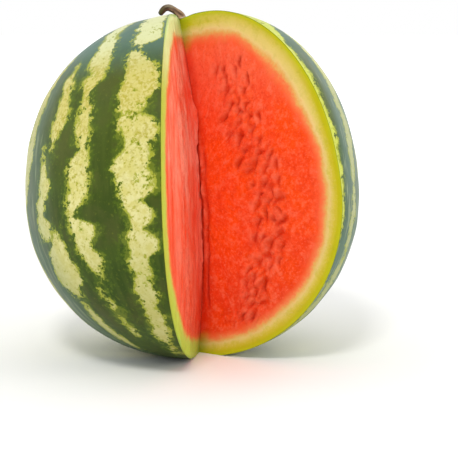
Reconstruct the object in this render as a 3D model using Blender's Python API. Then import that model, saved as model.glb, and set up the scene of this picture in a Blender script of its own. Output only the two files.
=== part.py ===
"""A ripe striped watermelon standing on its blossom end, with one upright wedge cut out of it, and its
short dried stalk.

Sizes are in metres, angles in degrees. The fruit has a frame of its own: its origin is the middle of
the fruit, Z runs up the core and the missing wedge opens towards -Y. A direction round the core is
counted from -Y towards +X. The fruit then leans back from its cut, as its weight makes it do, and
stands on a small flat spot at Z = 0.
"""

import math
import random

import bmesh
import bpy
from mathutils import Matrix, Vector

# The whole fruit
RADIUS = 0.130
TOP_RISE = 0.1428
BOTTOM_DROP = 0.1278
TOP_FULLNESS = 2.25
BOTTOM_FULLNESS = 2.04
SHOULDER_RISE = 0.0064
SHOULDER_SIDE = 62.0
LOBES = 10
LOBE_DEPTH = 0.0004
RIND = 0.017
GREEN_RIND = 0.008

# How it stands: the place of the fruit's middle over the spot that it rests on
LEAN = 11.1
SIDE_LEAN = 1.0
MIDDLE = Vector((-0.0001, -0.0099, 0.1244))

# The missing wedge. Three values each: near the bottom, at the middle and near the top of the core.
CUT_HEIGHTS = (-0.1235, 0.0, 0.1365)
CORE_X = (0.0035, 0.0065, 0.0001)
CORE_Y = (0.0135, -0.0006, 0.0066)
LEFT_ANGLE = (33.0, 33.3, 29.4)
RIGHT_ANGLE = (37.7, 32.8, 23.1)

# How finely the surface is divided
RINGS = 41
FIRST_RING_RADIUS = 0.0095
LAST_RING_RADIUS = 0.0165
SKIN_COLUMNS = 44
FLESH_COLUMNS = 15
LEAST_FLESH = 0.4

# Seeds left small pits where the blade went through them: height, then distance from the core
SEED_BAND = ((-0.100, 0.040), (-0.050, 0.060), (0.0, 0.063), (0.050, 0.048), (0.100, 0.043))
SEED_BAND_WIDTH = 0.034
PIT_SHARE = 0.85
PIT_DEPTH = 0.0016
PIT_RIM = 0.0012
PIT_FLOOR = 0.85
PIT_TURN = 24.0
PIT_SEED = {"right": 12, "left": 31}

# The stalk: steps along its run, height over the skin, radius
STALK_FOOT = (0.0030, 0.0100)
STALK_BEARING = 248.0
STALK_GAP = 0.0003
STALK_RUN = (
    (0.0, 0.0, 0.0040),
    (0.0003, 0.0018, 0.0034),
    (0.0012, 0.0041, 0.0028),
    (0.0040, 0.0067, 0.0025),
    (0.0071, 0.0089, 0.0024),
    (0.0103, 0.0103, 0.0024),
    (0.0131, 0.0098, 0.0023),
    (0.0152, 0.0079, 0.0022),
    (0.0165, 0.0063, 0.0020),
)
STALK_SIDES = 15
STALK_RIDGES = 5
STALK_RIDGE_DEPTH = 0.10
STALK_TWIST = 50.0
DIMPLE_DEPTH = 0.0012
DIMPLE_WIDTH = 0.012
DENT_PLACE = (-0.0290, -0.0215)
DENT_DEPTH = 0.0024
DENT_WIDTH = 0.025


def clear_scene():
    for thing in list(bpy.data.objects):
        bpy.data.objects.remove(thing, do_unlink=True)


def material(name, colour, roughness):
    made = bpy.data.materials.new(name)
    made.use_nodes = True
    shader = made.node_tree.nodes["Principled BSDF"]
    shader.inputs["Base Color"].default_value = (*colour, 1.0)
    shader.inputs["Roughness"].default_value = roughness
    shader.inputs["Metallic"].default_value = 0.0
    return made


def through_three(values, height):
    """The smooth curve through three values that stand at CUT_HEIGHTS, read at a height."""
    low, middle, high = CUT_HEIGHTS
    a = values[0] * (height - middle) * (height - high) / ((low - middle) * (low - high))
    b = values[1] * (height - low) * (height - high) / ((middle - low) * (middle - high))
    c = values[2] * (height - low) * (height - middle) / ((high - low) * (high - middle))
    return a + b + c


def along(points, at):
    """A broken line through (place, value) points, read at a place."""
    for (low, first), (high, second) in zip(points, points[1:]):
        if at <= high:
            share = max(0.0, (at - low) / (high - low))
            return first + (second - first) * share
    return points[-1][1]


def shell_radius(height, inset=0.0):
    """How far the skin, or a shell inset from it, is from the core at a height. 0 past its ends."""
    rise, fullness = (TOP_RISE, TOP_FULLNESS) if height >= 0 else (BOTTOM_DROP, BOTTOM_FULLNESS)
    left = 1 - (abs(height) / (rise - inset)) ** fullness
    return (RADIUS - inset) * max(0.0, left) ** (1 / fullness)


def ring_height(polar):
    """The height of a ring that lies at a polar angle from the top of the core."""
    upper = polar < math.pi / 2
    rise, fullness = (TOP_RISE, TOP_FULLNESS) if upper else (-BOTTOM_DROP, BOTTOM_FULLNESS)
    return rise * abs(math.cos(polar)) ** (2 / fullness)


def core(height):
    """The line where the two cut faces meet."""
    return Vector((through_three(CORE_X, height), through_three(CORE_Y, height), height))


def out_to(height, direction, radius):
    """From the cut's line at a height, straight out in a direction to a circle round the core."""
    start = core(height)
    heading = Vector((math.sin(direction), -math.cos(direction), 0.0))
    across = start.x * heading.x + start.y * heading.y
    inside = across**2 - (start.x**2 + start.y**2 - radius**2)
    return start + heading * (math.sqrt(max(0.0, inside)) - across)


def grown(point):
    """Adds what makes the fruit less than a perfect turned shape: lobes, a high shoulder, the stalk's
    dimple and a wide shallow dent left of it."""
    radius = math.hypot(point.x, point.y)
    direction = math.atan2(point.x, -point.y)
    swell = 1 + LOBE_DEPTH / RADIUS * (radius / RADIUS) * math.cos(LOBES * direction)
    up = max(0.0, point.z) / TOP_RISE
    from_side = direction - math.radians(SHOULDER_SIDE)
    lift = SHOULDER_RISE * up**2 * (radius / RADIUS) * math.cos(from_side)
    from_stalk = math.dist((point.x, point.y), STALK_FOOT) / DIMPLE_WIDTH
    from_dent = math.dist((point.x, point.y), DENT_PLACE) / DENT_WIDTH
    sink = DIMPLE_DEPTH * math.exp(-(from_stalk**2)) + DENT_DEPTH * math.exp(-(from_dent**2))
    return Vector((point.x * swell, point.y * swell, point.z + lift - sink * up**8))


def stood(point):
    """From the fruit's own frame to its place on the surface."""
    back = Matrix.Rotation(math.radians(-LEAN), 3, "X")
    return MIDDLE + Matrix.Rotation(math.radians(SIDE_LEAN), 3, "Y") @ back @ point


def cut_points(height, direction):
    """From the cut's line out to the skin, which is left out: the flesh's columns, then the rind's two."""
    start = core(height)
    reach = out_to(height, direction, shell_radius(height)) - start
    inner = shell_radius(height, RIND)
    flesh = (out_to(height, direction, inner) - start).length if inner > start.xy.length else 0.0
    flesh = max(flesh, LEAST_FLESH * reach.length)
    middle = flesh + (reach.length - flesh) * (1 - GREEN_RIND / RIND)
    steps = [flesh * i / FLESH_COLUMNS for i in range(FLESH_COLUMNS + 1)] + [middle]
    return [start + reach.normalized() * step for step in steps]


def ring(height):
    """One closed loop at a height: out along the right cut, round the skin and in along the left cut."""
    right = math.radians(through_three(RIGHT_ANGLE, height))
    left = math.radians(through_three(LEFT_ANGLE, height))
    right_cut = cut_points(height, right)
    left_cut = cut_points(height, -left)
    radius = shell_radius(height)
    sweep = 2 * math.pi - right - left
    skin = [
        out_to(height, right + sweep * i / SKIN_COLUMNS, radius) for i in range(SKIN_COLUMNS + 1)
    ]
    return right_cut + skin + left_cut[:0:-1]


def add_pits(mesh, faces, side):
    """Sinks a small pit into most of every second face, as on a chessboard, in the band of seeds."""
    draw = random.Random(PIT_SEED[side])
    for face, staggered, place, height in faces:
        middle = along(SEED_BAND, height)
        inside = abs(place - middle) < SEED_BAND_WIDTH / 2
        inside = inside and SEED_BAND[0][0] < height < SEED_BAND[-1][0]
        if not (inside and staggered) or draw.random() > PIT_SHARE:
            continue
        bmesh.ops.inset_individual(mesh, faces=[face], thickness=PIT_RIM, use_even_offset=True)
        centre = face.calc_center_median()
        depth = PIT_DEPTH * draw.uniform(0.8, 1.1)
        turn = Matrix.Rotation(math.radians(draw.uniform(-PIT_TURN, PIT_TURN)), 3, face.normal)
        inward = -face.normal * depth
        for vertex in face.verts:
            vertex.co = centre + turn @ (vertex.co - centre) * PIT_FLOOR + inward


def sort_faces(loops, faces):
    """Gives each face its colour and picks out the flesh faces of each cut."""
    cut_count = FLESH_COLUMNS + 2
    flesh = {"right": [], "left": []}
    total = len(loops[0])
    for (row, column), face in faces.items():
        beside = (column + 1) % total
        corners = loops[row][column], loops[row][beside], loops[row + 1][column], loops[row + 1][beside]
        centre = sum(corners, Vector()) / 4
        if column < cut_count:
            side = "right"
        elif column >= cut_count + SKIN_COLUMNS:
            side = "left"
        else:
            continue
        in_flesh = centre.xy.length < shell_radius(centre.z, RIND)
        face.material_index = 2 if in_flesh else 1
        if in_flesh:
            staggered = (row + column) % 2 == 0
            flesh[side].append((face, staggered, (centre - core(centre.z)).length, centre.z))
    return flesh


def build_melon():
    """The fruit is one grown piece: skin, rind and flesh. Its rings are joined into one closed skin,
    and a level plane takes off the little that would lie under the surface."""
    first = math.asin((FIRST_RING_RADIUS / RADIUS) ** (TOP_FULLNESS / 2))
    last = math.pi - math.asin((LAST_RING_RADIUS / RADIUS) ** (BOTTOM_FULLNESS / 2))
    polars = [first + (last - first) * i / (RINGS - 1) for i in range(RINGS)]
    loops = [ring(ring_height(polar)) for polar in polars]

    mesh = bmesh.new()
    rows = [[mesh.verts.new(stood(grown(point))) for point in loop] for loop in loops]
    total = len(rows[0])
    faces = {}
    for row in range(RINGS - 1):
        for column in range(total):
            beside = (column + 1) % total
            corners = (rows[row][column], rows[row + 1][column], rows[row + 1][beside], rows[row][beside])
            faces[row, column] = mesh.faces.new(corners)
    mesh.faces.new(rows[0])
    mesh.faces.new(rows[-1][::-1])
    mesh.normal_update()
    flesh = sort_faces(loops, faces)
    for side, chosen in flesh.items():
        add_pits(mesh, chosen, side)

    everything = [*mesh.verts, *mesh.edges, *mesh.faces]
    bmesh.ops.bisect_plane(
        mesh, geom=everything, plane_co=(0, 0, 0), plane_no=(0, 0, 1), clear_inner=True, dist=1e-6
    )
    rim = [edge for edge in mesh.edges if edge.is_boundary]
    bmesh.ops.edgeloop_fill(mesh, edges=rim)
    bmesh.ops.triangulate(mesh, faces=[face for face in mesh.faces if len(face.verts) > 4])
    bmesh.ops.recalc_face_normals(mesh, faces=mesh.faces)

    data = bpy.data.meshes.new("melon")
    mesh.to_mesh(data)
    mesh.free()
    data.materials.append(material("green_skin", (0.06, 0.13, 0.03), 0.42))
    data.materials.append(material("pale_rind", (0.62, 0.60, 0.20), 0.45))
    data.materials.append(material("red_flesh", (0.83, 0.07, 0.03), 0.40))
    data.shade_smooth()
    data.set_sharp_from_angle(angle=math.radians(40))
    melon = bpy.data.objects.new("melon", data)
    bpy.context.collection.objects.link(melon)
    return melon


def skin_over(x, y):
    """The point of the upper skin at a place of the fruit's own frame."""
    share = 1 - (math.hypot(x, y) / RADIUS) ** TOP_FULLNESS
    return grown(Vector((x, y, TOP_RISE * share ** (1 / TOP_FULLNESS))))


def stalk_ring(place, forward, radius, twist, foot):
    """One ring of the stalk, square to its run. The foot's ring follows the skin, a gap above it."""
    side = forward.cross(Vector((0, 0, 1)) if abs(forward.z) < 0.9 else Vector((1, 0, 0))).normalized()
    over = side.cross(forward).normalized()
    points = []
    for i in range(STALK_SIDES):
        turn = 2 * math.pi * i / STALK_SIDES
        reach = radius * (1 + STALK_RIDGE_DEPTH * math.cos(STALK_RIDGES * (turn + twist)))
        point = place + (side * math.cos(turn) + over * math.sin(turn)) * reach
        if foot:
            point = skin_over(point.x, point.y) + Vector((0, 0, STALK_GAP))
        points.append(point)
    return points


def build_stalk():
    """A short dry stalk: it flares onto the fruit, rises, and hooks over to a blunt broken end."""
    bearing = math.radians(STALK_BEARING)
    heading = Vector((math.sin(bearing), -math.cos(bearing), 0.0))
    foot = skin_over(*STALK_FOOT) + Vector((0, 0, STALK_GAP))
    places = [foot + heading * run + Vector((0, 0, rise)) for run, rise, _ in STALK_RUN]
    mesh = bmesh.new()
    rings = []
    for i, place in enumerate(places):
        ahead = places[min(i + 1, len(places) - 1)]
        behind = places[max(i - 1, 0)]
        forward = Vector((0, 0, 1)) if i == 0 else (ahead - behind).normalized()
        twist = math.radians(STALK_TWIST) * i / len(places)
        points = stalk_ring(place, forward, STALK_RUN[i][2], twist, i == 0)
        rings.append([mesh.verts.new(stood(point)) for point in points])
    for lower, upper in zip(rings, rings[1:]):
        for i in range(STALK_SIDES):
            beside = (i + 1) % STALK_SIDES
            mesh.faces.new((lower[i], lower[beside], upper[beside], upper[i]))
    mesh.faces.new(rings[0][::-1])
    mesh.faces.new(rings[-1])
    bmesh.ops.triangulate(mesh, faces=[face for face in mesh.faces if len(face.verts) > 4])
    bmesh.ops.recalc_face_normals(mesh, faces=mesh.faces)
    data = bpy.data.meshes.new("stalk")
    mesh.to_mesh(data)
    mesh.free()
    data.materials.append(material("dry_stalk", (0.24, 0.16, 0.08), 0.75))
    data.shade_smooth()
    data.set_sharp_from_angle(angle=math.radians(50))
    stalk = bpy.data.objects.new("stalk", data)
    bpy.context.collection.objects.link(stalk)
    return stalk


clear_scene()
build_melon()
build_stalk()
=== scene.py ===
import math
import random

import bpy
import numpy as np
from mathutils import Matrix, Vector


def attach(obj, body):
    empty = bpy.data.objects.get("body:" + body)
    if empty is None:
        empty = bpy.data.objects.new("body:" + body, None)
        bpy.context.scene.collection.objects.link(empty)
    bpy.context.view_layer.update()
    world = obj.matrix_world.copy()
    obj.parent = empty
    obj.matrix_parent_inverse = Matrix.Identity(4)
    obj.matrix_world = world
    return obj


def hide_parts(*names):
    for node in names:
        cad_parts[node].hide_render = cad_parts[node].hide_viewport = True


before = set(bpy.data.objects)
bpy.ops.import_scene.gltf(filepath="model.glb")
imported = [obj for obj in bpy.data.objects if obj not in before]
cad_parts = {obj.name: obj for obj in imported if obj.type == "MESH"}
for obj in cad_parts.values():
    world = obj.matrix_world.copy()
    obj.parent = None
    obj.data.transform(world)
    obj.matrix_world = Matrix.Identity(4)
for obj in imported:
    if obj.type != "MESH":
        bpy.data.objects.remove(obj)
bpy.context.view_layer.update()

# A ripe striped watermelon that stands upright with one wedge cut out, and its short dried stalk.
# Sizes are in metres and angles in degrees, apart from the values named _MM.
# The fruit has a frame of its own: its origin is the fruit's middle, Z runs up the core and the
# missing wedge opens towards -Y. A direction round the core is counted from -Y towards +X.

MM = 0.001

# The whole fruit, as in the solid
RADIUS = 0.130
TOP_RISE = 0.1428
BOTTOM_DROP = 0.1278
TOP_FULLNESS = 2.25
BOTTOM_FULLNESS = 2.04
SHOULDER_RISE = 0.0064
SHOULDER_SIDE = 62.0
LOBES = 10
LOBE_DEPTH = 0.0004
FIRST_RING_RADIUS = 0.0095
LAST_RING_RADIUS = 0.0165
LEAN = 11.1
SIDE_LEAN = 1.0
MIDDLE = np.array((-0.0001, -0.0099, 0.1244))
# The stalk's dimple and the wide dent left of it, which fade quickly on the way down
DIMPLE_DEPTH = 0.0012
DIMPLE_WIDTH = 0.012
DENT_PLACE = (-0.0290, -0.0215)
DENT_DEPTH = 0.0024
DENT_WIDTH = 0.025
SINK_FADE = 8

# The missing wedge. Three values each: near the bottom, at the middle and near the top of the core.
CUT_HEIGHTS = (-0.1235, 0.0, 0.1365)
CORE_X = (0.0035, 0.0065, 0.0001)
CORE_Y = (0.0135, -0.0006, 0.0066)
LEFT_ANGLE = (33.0, 33.3, 29.4)
RIGHT_ANGLE = (37.7, 32.8, 23.1)

# How finely the visible surface is divided
ROWS = 268
CUT_COLUMNS = 108
SKIN_COLUMNS = 156
SHARE_BY_ANGLE = 0.5
CORE_CROWDING = 0.15
HEIGHT_STEPS = 6000
DEPTH_HALVINGS = 22
DEEPEST = 0.9 * BOTTOM_DROP
SKIN_RIPPLE = 0.00022
SKIN_RIPPLE_LENGTH = 0.030
RIPPLE_WAVES = 14
RIPPLE_SPREAD = (0.7, 1.4)
RIPPLE_EVENING = 5.0
CALM_COLUMNS = 3
GROUND_SOFTNESS = 0.0003
MELON_CREASE = 52.0
NOISE_CELLS = 256

# Pale stripes: each patch is a run of (height in mm, left edge, right edge), edges as directions
FIRST_STRIPE = (
    (134, -50, -33), (118, -46, -29), (110, -46, -31), (105.5, -43, -38.5), (102.5, -42, -41),
    (99, -45, -39), (88, -44, -32), (80, -44, -30), (70, -46, -31), (62, -44.5, -34.5),
    (57, -45.5, -33), (53, -45, -35), (44, -45, -31), (35, -43.5, -31), (29, -43, -33.5),
    (22, -44.5, -33), (15, -47, -34), (9, -45, -31.5), (-2, -44, -31), (-9, -44, -38),
    (-14, -43, -34.5), (-23, -42, -34), (-29, -43.5, -36.5), (-34, -45, -32.5), (-43, -44.5, -33),
    (-50, -45, -38), (-61, -43, -37.5), (-70, -45, -38), (-74, -45, -36), (-85, -44.5, -39.5),
    (-93, -45, -36), (-104, -47, -39), (-114, -46, -42),
)
SECOND_STRIPE = (
    (132, -74, -61), (124, -72, -59), (117, -69, -57), (106, -65.5, -54.5), (97, -66, -53),
    (88, -61.5, -53), (83, -65, -53.5), (72, -61.3, -57.3), (60, -61, -55.8), (45, -61.6, -55),
    (31, -59.8, -55.5), (21, -64, -55.5), (0, -64.6, -56), (-8, -65.5, -59), (-17, -65.3, -62.3),
    (-24, -65, -53.7), (-31, -64.7, -54), (-36, -64.2, -57.5), (-42, -64, -56), (-48, -62, -54.5),
    (-53, -59.8, -55.5), (-60, -58, -56.8),
)
SECOND_STRIPE_FOOT = ((-74, -61, -59.5), (-82, -60, -56), (-90, -61, -57), (-100, -59, -57))
THIRD_STRIPE_TOP = (
    (93, -74, -71), (88, -77, -70.5), (83, -76, -68.5), (75, -73, -69), (62, -74.2, -66.2),
    (51, -75.5, -67), (44, -75, -69.5), (37, -74, -72),
)
THIRD_STRIPE_MIDDLE = (
    (32, -79, -78), (16, -81, -75), (8, -81, -73.7), (1, -80.3, -75.5), (-3, -84, -77),
    (-15, -84, -79.3), (-20, -84.6, -75.7), (-26, -84.9, -77),
)
THIRD_STRIPE_LOW = (
    (-31, -75, -72), (-36, -78, -70.5), (-42, -82.3, -70), (-54, -84, -67.2), (-62, -84.5, -67.2),
    (-66, -84, -71.4), (-68, -80, -73),
)
THIRD_STRIPE_FOOT = ((-83, -76.5, -74), (-89, -79, -72), (-96, -79.5, -73), (-110, -79, -73))
FOURTH_STRIPE = (
    (104, -92, -88), (80, -99, -89), (60, -101, -89), (30, -103, -90), (12, -104, -95),
    (-4, -106, -99), (-30, -107, -101), (-40, -109, -100), (-66, -108, -99), (-90, -106, -100),
)
RIGHT_EDGE_STRIPE = (
    (134, 22, 48), (118, 22, 36), (106, 24, 31), (95, 24, 30.5), (72, 26, 32.5), (50, 27, 34),
    (25, 30, 36.2), (0, 30, 37), (-16, 31, 36.8), (-28, 32, 38), (-38, 33, 37.6), (-60, 33, 38.4),
    (-80, 33, 40), (-104, 35, 43),
)
RIGHT_STRIPE = (
    (124, 46, 54), (104, 45, 53), (95, 44, 54), (78, 45, 55), (60, 45, 51), (46, 46.5, 51.5),
    (33, 45.5, 53.5), (20, 45, 51.4), (7, 46, 50), (-3, 47.5, 48.5), (-13, 45.5, 50.5),
    (-22, 45, 51), (-35, 46, 50), (-60, 46.5, 52), (-90, 45, 54), (-106, 46, 53),
)
SEEN_PATCHES = (
    FIRST_STRIPE, SECOND_STRIPE, SECOND_STRIPE_FOOT, THIRD_STRIPE_TOP, THIRD_STRIPE_MIDDLE,
    THIRD_STRIPE_LOW, THIRD_STRIPE_FOOT, FOURTH_STRIPE, RIGHT_EDGE_STRIPE, RIGHT_STRIPE,
)
PATCH_END_MM = 5.0
STRIPE_REACH_MM = 20.0
# No pale patch runs quite up to the left face: a thin green line is left
EDGE_LINE_MM = 2.2
EDGE_LINE_STEEPNESS = 4.0
# The other stripes follow by rule round the back. Their waves: share, and length in mm per radian.
BACK_STRIPES = 10
BACK_SPAN = (48.5, 264.0)
BACK_SHIFT = 1.5
BACK_HEIGHTS_MM = (132, -122, -6)
BACK_HALF_WIDTH = 5.0
BACK_WIDTH_DRAW = (0.82, 1.18)
BACK_WANDER = 2.0
BACK_WANDER_WAVES = ((1.0, 31.0), (0.4, 12.0))
BACK_SWELL_WAVES = ((0.34, 17.0), (0.16, 7.5))
BACK_JITTER = 0.5
BACK_SEED = 5
# Where pale skin is yellower, as directions, and where a cool painted sheen lies on the skin: right
# side, left side and top
FRESH_SPAN = (20.0, 42.0)
FRESH_EASE = 3.0
PAINTED_SHEEN_RIGHT_START = (34.0, 41.0)
PAINTED_SHEEN_RIGHT_END = (56.0, 84.0)
PAINTED_SHEEN_RIGHT_SHARE = 0.68
PAINTED_SHEEN_LEFT_SPAN = (252.0, 282.0)
PAINTED_SHEEN_LEFT_EASE = 8.0
PAINTED_SHEEN_LEFT_SHARE = 0.42
PAINTED_SHEEN_TOP_MM = (78.0, 116.0)

# Seeds left small pits on the cut faces: (height, distance from the core) of their band, in mm
SEED_BAND_MM = ((-100, 40), (-50, 60), (0, 63), (50, 48), (100, 43))
SEED_BAND_HALF_MM = 17.0
PIT_SEED = {"right": 8, "left": 21}
PIT_COUNT = {"right": 60, "left": 30}
PIT_TRIES = 6000
PIT_APART_MM = 7.4
PIT_HEIGHTS_MM = (-100, 98)
# How far the pits reach inwards from the band's middle, in half bands: high up and low down
PIT_INWARD = (1.35, 1.0)
# The tilt's middle and spread, the sizes, and the ranges that each pit's own values are drawn from
PIT_TILT = {"right": (46, 24), "left": (82, 9)}
PIT_STRETCH = {"right": 1.0, "left": 1.3}
PIT_LENGTH_MM = 9.8
PIT_WIDTH_MM = 4.2
PIT_SIZE = (0.75, 1.30)
PIT_PLUMPNESS = (0.7, 1.2)
PIT_BEND = (-0.3, 0.8)
PIT_DEPTH = (0.65, 1.30)
PIT_DEPTH_PER_WIDTH = 0.56
PIT_DEEPEST_MM = 2.6
PIT_SHADE = (0.6, 1.0)
PIT_HIGHLIGHT = (0.3, 1.0)
PIT_RAGGED_MM = 1.3
PIT_RAGGED_LENGTH_MM = 4.0
# Across a pit, in half widths: the reach of its gentle side and of its steep edge, for the hollow
# and for the painted shade of its floor, then the place and width of the swollen bank and of the
# brim, which get painted highlight
HOLLOW_REACH = (1.75, 0.42)
SHADE_REACH = (1.5, 0.75)
SHADE_SHIFT = 0.25
BANK = (2.1, 1.1)
BANK_RISE = 0.65
BANK_LENGTH = 1.1
BRIM = (-1.1, 0.6)
BRIM_RISE = 0.35
# The largest pits of the right face: distance from the core, height, length, width, tilt
LARGE_PITS_MM = (
    (30, 57, 11.5, 3.6, 28), (34, 43, 11.5, 4.2, 46), (47, 15, 13.0, 4.8, 27),
    (53, 44, 9.0, 4.2, 52), (52, 64, 8.5, 3.6, 48), (36, 94, 8.0, 3.4, 62),
    (52, 75, 8.0, 3.2, 50), (60, 37, 8.5, 3.8, 48), (58, 27, 8.5, 4.0, 40),
    (72, 17, 9.0, 4.6, 76), (60, 4, 9.0, 4.4, 20), (73, 5, 8.0, 3.8, 60),
    (66, -24, 8.0, 4.0, -34), (59, -52, 10.0, 5.2, -28), (72, -45, 9.0, 4.4, 74),
    (45, 30, 9.0, 3.6, 36),
)
# Torn lumps between the pits
LUMP_HEIGHT_MM = {"right": 0.65, "left": 0.55}
LUMP_SPAN_MM = (-104, 100)
LUMP_EASE_MM = 10

# A crack runs beside the core of the right face, then a torn strip stands, then comes a groove.
# Each has its distance from the core, its width, how far it stands out, and where it runs.
CRACK_MM = (0.9, 0.7, -0.8, (-92, 40))
STRIP_MM = (2.9, 1.4, 1.5, (-52, 44))
GROOVE_MM = (5.7, 0.9, -1.6, (-88, 42))
STRIP_FLANKS = (0.85, 1.2)
STRIP_LOWEST = 0.05
TORN_WIDTH_MM = 5.0
TORN_HEIGHT_MM = 0.45
SPAN_EASE_MM = 6
# The left face: softer pits, long folds and slivers, and flesh that swells over the core
LEFT_PIT_SHARES = (0.6, 0.5, 0.6)
FOLD_HEIGHT_MM = 0.55
SLIVER_HEIGHT_MM = 0.28
# Even swells: height, distance from the core, width
LEFT_SWELLS_MM = ((1.0, 74, 18), (-0.6, 45, 12))
INNER_OUT_MM = 5.0
INNER_WIDTH_MM = 4.5
INNER_SPAN_MM = (-70, 92)
INNER_BULGE_MM = 2.6
INNER_BULGE_SPAN_MM = (42, 70)
# Soft unevenness of both faces: height, size
FACE_LUMPS_MM = ((0.30, 22), (0.16, 7), (0.07, 2.6))
FACE_SEED = {"right": 50, "left": 60}
# Relief and pits fade out towards the core and towards the rim
CORE_FADE_MM = (0.0, 1.2)
RIM_FADE_MM = (0.3, 5.0)
# Painted shade all along the core line, as a floor mask
CORE_SHADE = 0.8
# Fibres of the right face fan out from a point behind the core. Grains are kept apart by depth.
FIBRE_START_MM = (-12, 8)
FIBRE_FAN_MM = 75
LEFT_GRAIN_MM = 40
SKIN_GRAIN_MM = 80

# The stalk, as in the solid: steps along its run, height over the skin, radius
STALK_FOOT = (0.0030, 0.0100)
STALK_BEARING = 248.0
STALK_GAP = 0.0003
STALK_RUN = (
    (0.0, 0.0, 0.0040), (0.0003, 0.0018, 0.0034), (0.0012, 0.0041, 0.0028),
    (0.0040, 0.0067, 0.0025), (0.0071, 0.0089, 0.0024), (0.0103, 0.0103, 0.0024),
    (0.0131, 0.0098, 0.0023), (0.0152, 0.0079, 0.0022), (0.0165, 0.0063, 0.0020),
)
STALK_RINGS = 110
STALK_SIDES = 60
STALK_RIDGES = 5
STALK_RIDGE_DEPTH = 0.13
STALK_RIDGE_ROUNDNESS = 0.8
STALK_SWELL = 1.06
STALK_FIBRE_DEPTH = 0.05
STALK_FLARE = 0.28
STALK_FLARE_RUN = 0.06
STALK_FOOT_RUN = 0.002
STALK_TIP_RINGS = 6
STALK_TIP_LENGTH = 0.9
STALK_TWIST = 50.0
STALK_CREASE = 60.0

# Camera and lights
CAMERA_BEARING = -21.43
CAMERA_RISE = 7.37
CAMERA_DISTANCE = 1.0
CAMERA_LENS_MM = 99.9
CAMERA_SENSOR_MM = 36.0
CAMERA_SHIFT = (0.0795, -0.0744)
CAMERA_CLIP = (0.01, 200.0)
# The studio's brightness: turned 0.1 away from the camera's side, 0.8 towards it, and both values
SKY_DIMMING = (-0.1, 0.8, 1.0, 0.52)
# Soft lights that face one point: name, place, width and height, watts, colour
LIGHT_AIM = Vector((0.0, 0.0, 0.13))
LIGHTS = (
    ("key_high_front", (-0.9, -1.3, 2.0), (0.45, 0.45), 22.0, (1.0, 0.98, 0.94)),
    ("into_the_cut", (1.7, -1.1, 0.7), (0.5, 0.8), 8.0, (1.0, 0.97, 0.93)),
    ("sheen_right", (1.7, 1.0, 0.9), (0.4, 1.4), 4.0, (0.95, 0.98, 1.0)),
    ("sheen_left", (-1.9, 0.5, 1.2), (0.4, 1.4), 3.5, (0.90, 0.97, 1.0)),
)
FLOOR_RADIUS = 60.0
FLOOR_SIDES = 96
FLOOR_GLOW_SPAN = (0.2, 3.0)


# Numbers on arrays

def eased(share):
    return share * share * (3 - 2 * share)


def smooth(low, high, value):
    """0 below low, 1 above high, and an even S between them."""
    return eased(np.clip((value - low) / (high - low), 0.0, 1.0))


def hump(value, middle, width):
    return np.exp(-(((value - middle) / width) ** 2))


def window(value, low, high, ease):
    """1 between low and high, easing to 0 outside them."""
    return smooth(low - ease, low + ease, value) * (1 - smooth(high - ease, high + ease, value))


def soft_noise(u, v, size, seed):
    """Soft lumps of a size on a plane, between -1 and 1."""
    lattice = np.random.default_rng(seed).uniform(-1, 1, (NOISE_CELLS, NOISE_CELLS))
    a, b = u / size, v / size
    i, j = np.floor(a).astype(int), np.floor(b).astype(int)
    s, t = eased(a - i), eased(b - j)

    def corner(p, q):
        return lattice[(i + p) % NOISE_CELLS, (j + q) % NOISE_CELLS]

    low = corner(0, 0) * (1 - s) + corner(1, 0) * s
    high = corner(0, 1) * (1 - s) + corner(1, 1) * s
    return low * (1 - t) + high * t


def soft_waves(u, size, seed):
    """Soft swells of a size along a line, between -1 and 1."""
    return soft_noise(u, 0 * u, size, seed)


def ripples(points, length, seed):
    """A sum of even waves of about one length that run all ways through space, about -1 to 1."""
    draw = np.random.default_rng(seed)
    total = 0
    for _ in range(RIPPLE_WAVES):
        way = draw.normal(size=3)
        way *= draw.uniform(*RIPPLE_SPREAD) * 2 * math.pi / (length * np.linalg.norm(way))
        total = total + np.sin(points @ way + draw.uniform(0, 2 * math.pi))
    return total / RIPPLE_EVENING


def vectors(x, y, z):
    """Vectors from three sets of numbers that fit together. A single number fits any set."""
    return np.stack(np.broadcast_arrays(x, y, z), axis=-1)


def level(direction):
    """Level unit vectors in directions round the core."""
    return vectors(np.sin(direction), -np.cos(direction), 0.0)


# The fruit's form, with the same formulas as the solid

def through_three(values, height):
    """A curve over height through the three values of the cut."""
    low, middle, high = CUT_HEIGHTS
    a = values[0] * (height - middle) * (height - high) / ((low - middle) * (low - high))
    b = values[1] * (height - low) * (height - high) / ((middle - low) * (middle - high))
    c = values[2] * (height - low) * (height - middle) / ((high - low) * (high - middle))
    return a + b + c


def shell_radius(height, inset=0.0):
    """How far the skin, or a shell inset from it, is from the core at a height."""
    upper = height >= 0
    rise = np.where(upper, TOP_RISE, BOTTOM_DROP) - inset
    fullness = np.where(upper, TOP_FULLNESS, BOTTOM_FULLNESS)
    left = np.clip(1 - (np.abs(height) / rise) ** fullness, 0, None)
    return (RADIUS - inset) * left ** (1 / fullness)


def depth_below_skin(points):
    """How far each point of the fruit's own frame lies under the skin, by halving."""
    away = np.hypot(points[..., 0], points[..., 1])
    low, high = np.zeros_like(away), np.full_like(away, DEEPEST)
    for _ in range(DEPTH_HALVINGS):
        middle = (low + high) / 2
        inside = shell_radius(points[..., 2], middle) > away
        low, high = np.where(inside, middle, low), np.where(inside, high, middle)
    return low


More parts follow.
